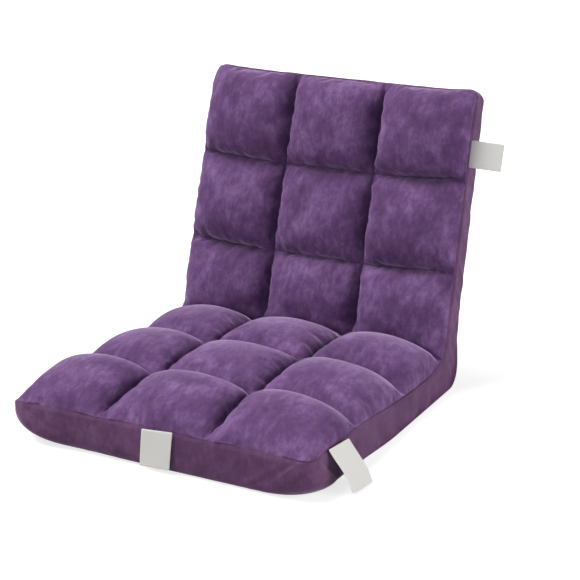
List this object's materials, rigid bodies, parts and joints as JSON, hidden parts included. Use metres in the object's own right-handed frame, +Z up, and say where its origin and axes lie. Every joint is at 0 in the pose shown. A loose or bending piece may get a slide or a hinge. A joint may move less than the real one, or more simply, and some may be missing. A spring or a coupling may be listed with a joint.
{
  "type": "floor chair",
  "caption": "Legless quilted floor chair: padded seat flat on the floor and a padded back that folds on ratchet hinges from upright to flat, in a sewn suede cover.",
  "frame": {"origin": "on the floor, at the middle of the seat's underside: half way between the front seam and the hinge axis, half way across", "axes": "+Z up, -Y the way the chair faces, +X to the right of a person who looks at the chair's front"},
  "size_m": [0.5737, 0.6648, 0.4935],
  "materials": {
    "suede": "napped suede cloth",
    "foam": "open-cell foam",
    "label": "bare woven label",
    "zip_tape": "woven tape and nylon coil",
    "zip_metal": "lacquered",
    "tube_paint": "black powder coat",
    "hinge_steel": "zinc plated"
  },
  "bodies": {
    "seat": {"seat_base_panel": "suede", "seat_band": "suede", "seat_quilt": "suede", "seat_foam_upper": "foam", "seat_foam_lower": "foam", "seat_tube": "tube_paint", "seat_cross_tube_front": "tube_paint", "seat_cross_tube_rear": "tube_paint", "seat_arm_rivets": "hinge_steel", "hinge_sleeve": "suede", "crease_strip": "suede", "front_label": "label", "corner_label": "label", "left_casing_outer": "hinge_steel", "left_casing_inner": "hinge_steel", "left_seat_arm": "hinge_steel", "left_pivot_pin": "hinge_steel", "left_pawl_pin": "hinge_steel", "left_pawl_spring": "hinge_steel", "left_casing_rivets": "hinge_steel", "right_casing_outer": "hinge_steel", "right_casing_inner": "hinge_steel", "right_seat_arm": "hinge_steel", "right_pivot_pin": "hinge_steel", "right_pawl_pin": "hinge_steel", "right_pawl_spring": "hinge_steel", "right_casing_rivets": "hinge_steel"},
    "backrest": {"back_quilt": "suede", "back_band": "suede", "back_rear_panel": "suede", "back_foam_front": "foam", "back_foam_rear": "foam", "back_tube": "tube_paint", "back_cross_tube_lower": "tube_paint", "back_cross_tube_upper": "tube_paint", "back_arm_rivets": "hinge_steel", "back_label": "label", "zip_tape": "zip_tape", "zip_coil": "zip_tape", "left_gear_arm": "hinge_steel", "right_gear_arm": "hinge_steel"},
    "left_pawl": {"left_pawl": "hinge_steel"},
    "right_pawl": {"right_pawl": "hinge_steel"},
    "zip_slider": {"zip_slider": "zip_metal"},
    "zip_pull": {"zip_pull": "zip_metal"}
  },
  "joints": [
    {"name": "backrest_recline", "type": "hinge", "parent": "seat", "child": "backrest", "pos_m": [0, 0.2575, 0.03], "axis": [-1, 0, 0], "range_deg": [-15, 75], "deforming": ["hinge_sleeve", "crease_strip"]},
    {"name": "left_pawl_swing", "type": "hinge", "parent": "seat", "child": "left_pawl", "pos_m": [-0.23, 0.24073, 0.01911], "axis": [1, 0, 0], "range_deg": [0, 17], "stiffness_Nm_per_rad": 0.02, "springref_deg": 28.65},
    {"name": "right_pawl_swing", "type": "hinge", "parent": "seat", "child": "right_pawl", "pos_m": [0.23, 0.24073, 0.01911], "axis": [1, 0, 0], "range_deg": [0, 17], "stiffness_Nm_per_rad": 0.02, "springref_deg": 28.65},
    {"name": "zip_slide", "type": "slide", "parent": "backrest", "child": "zip_slider", "axis": [-1, 0, 0], "range_m": [0, 0.36]},
    {"name": "zip_pull_swing", "type": "hinge", "parent": "zip_slider", "child": "zip_pull", "pos_m": [0.183, 0.30888, 0.09388], "axis": [0, 0.2588, 0.9659], "range_deg": [0, 180]}
  ],
  "couplings": [
    {"joint": "right_pawl_swing", "follows": "left_pawl_swing", "ratio": 1}
  ]
}
